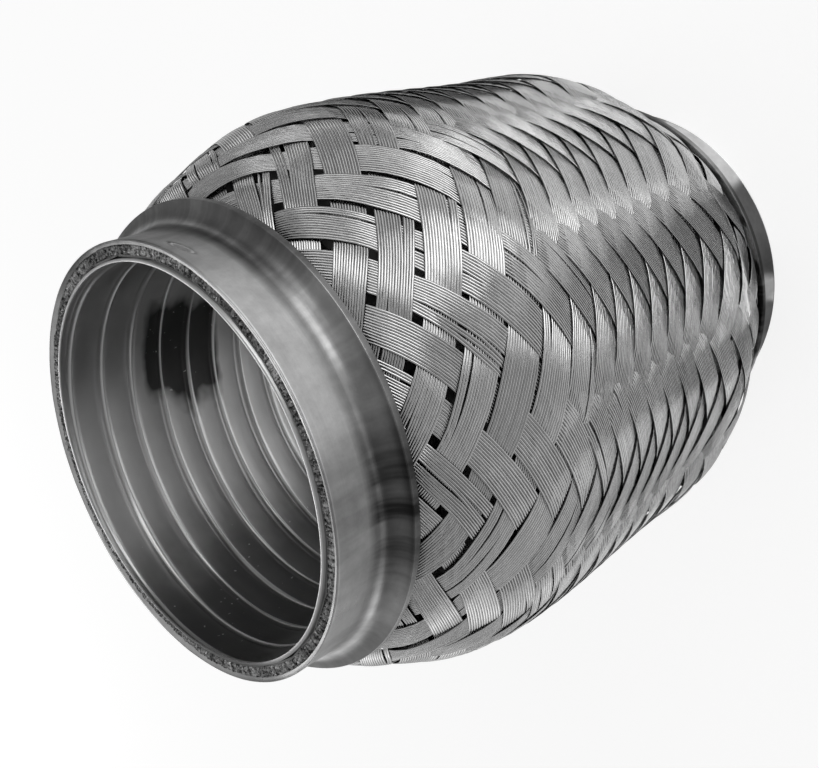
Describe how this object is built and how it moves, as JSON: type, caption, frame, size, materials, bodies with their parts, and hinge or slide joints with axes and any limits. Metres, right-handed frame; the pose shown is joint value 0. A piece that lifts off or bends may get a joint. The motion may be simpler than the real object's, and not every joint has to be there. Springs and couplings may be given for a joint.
{
  "type": "exhaust flex pipe",
  "caption": "Flexible exhaust pipe section: a woven steel sleeve over a bellows and a wound inner liner, with a flanged collar clamped round each end.",
  "frame": {"origin": "centre of the rear collar's end face, on the pipe's axis", "axes": "+Z along the pipe's axis, from the rear end up to the front opening; +X is the direction from which the weave's phase is counted"},
  "size_m": [0.0794, 0.0794, 0.1],
  "materials": {
    "collar_steel": "satin",
    "sleeve_wire": "bright drawn wire",
    "bellows_steel": "satin",
    "liner_steel": "satin, dull in patches"
  },
  "bodies": {
    "root": {"rear_collar": "collar_steel", "front_collar": "collar_steel", "woven_sleeve": "sleeve_wire", "pleated_bellows": "bellows_steel", "interlock_liner": "liner_steel"}
  },
  "joints": []
}
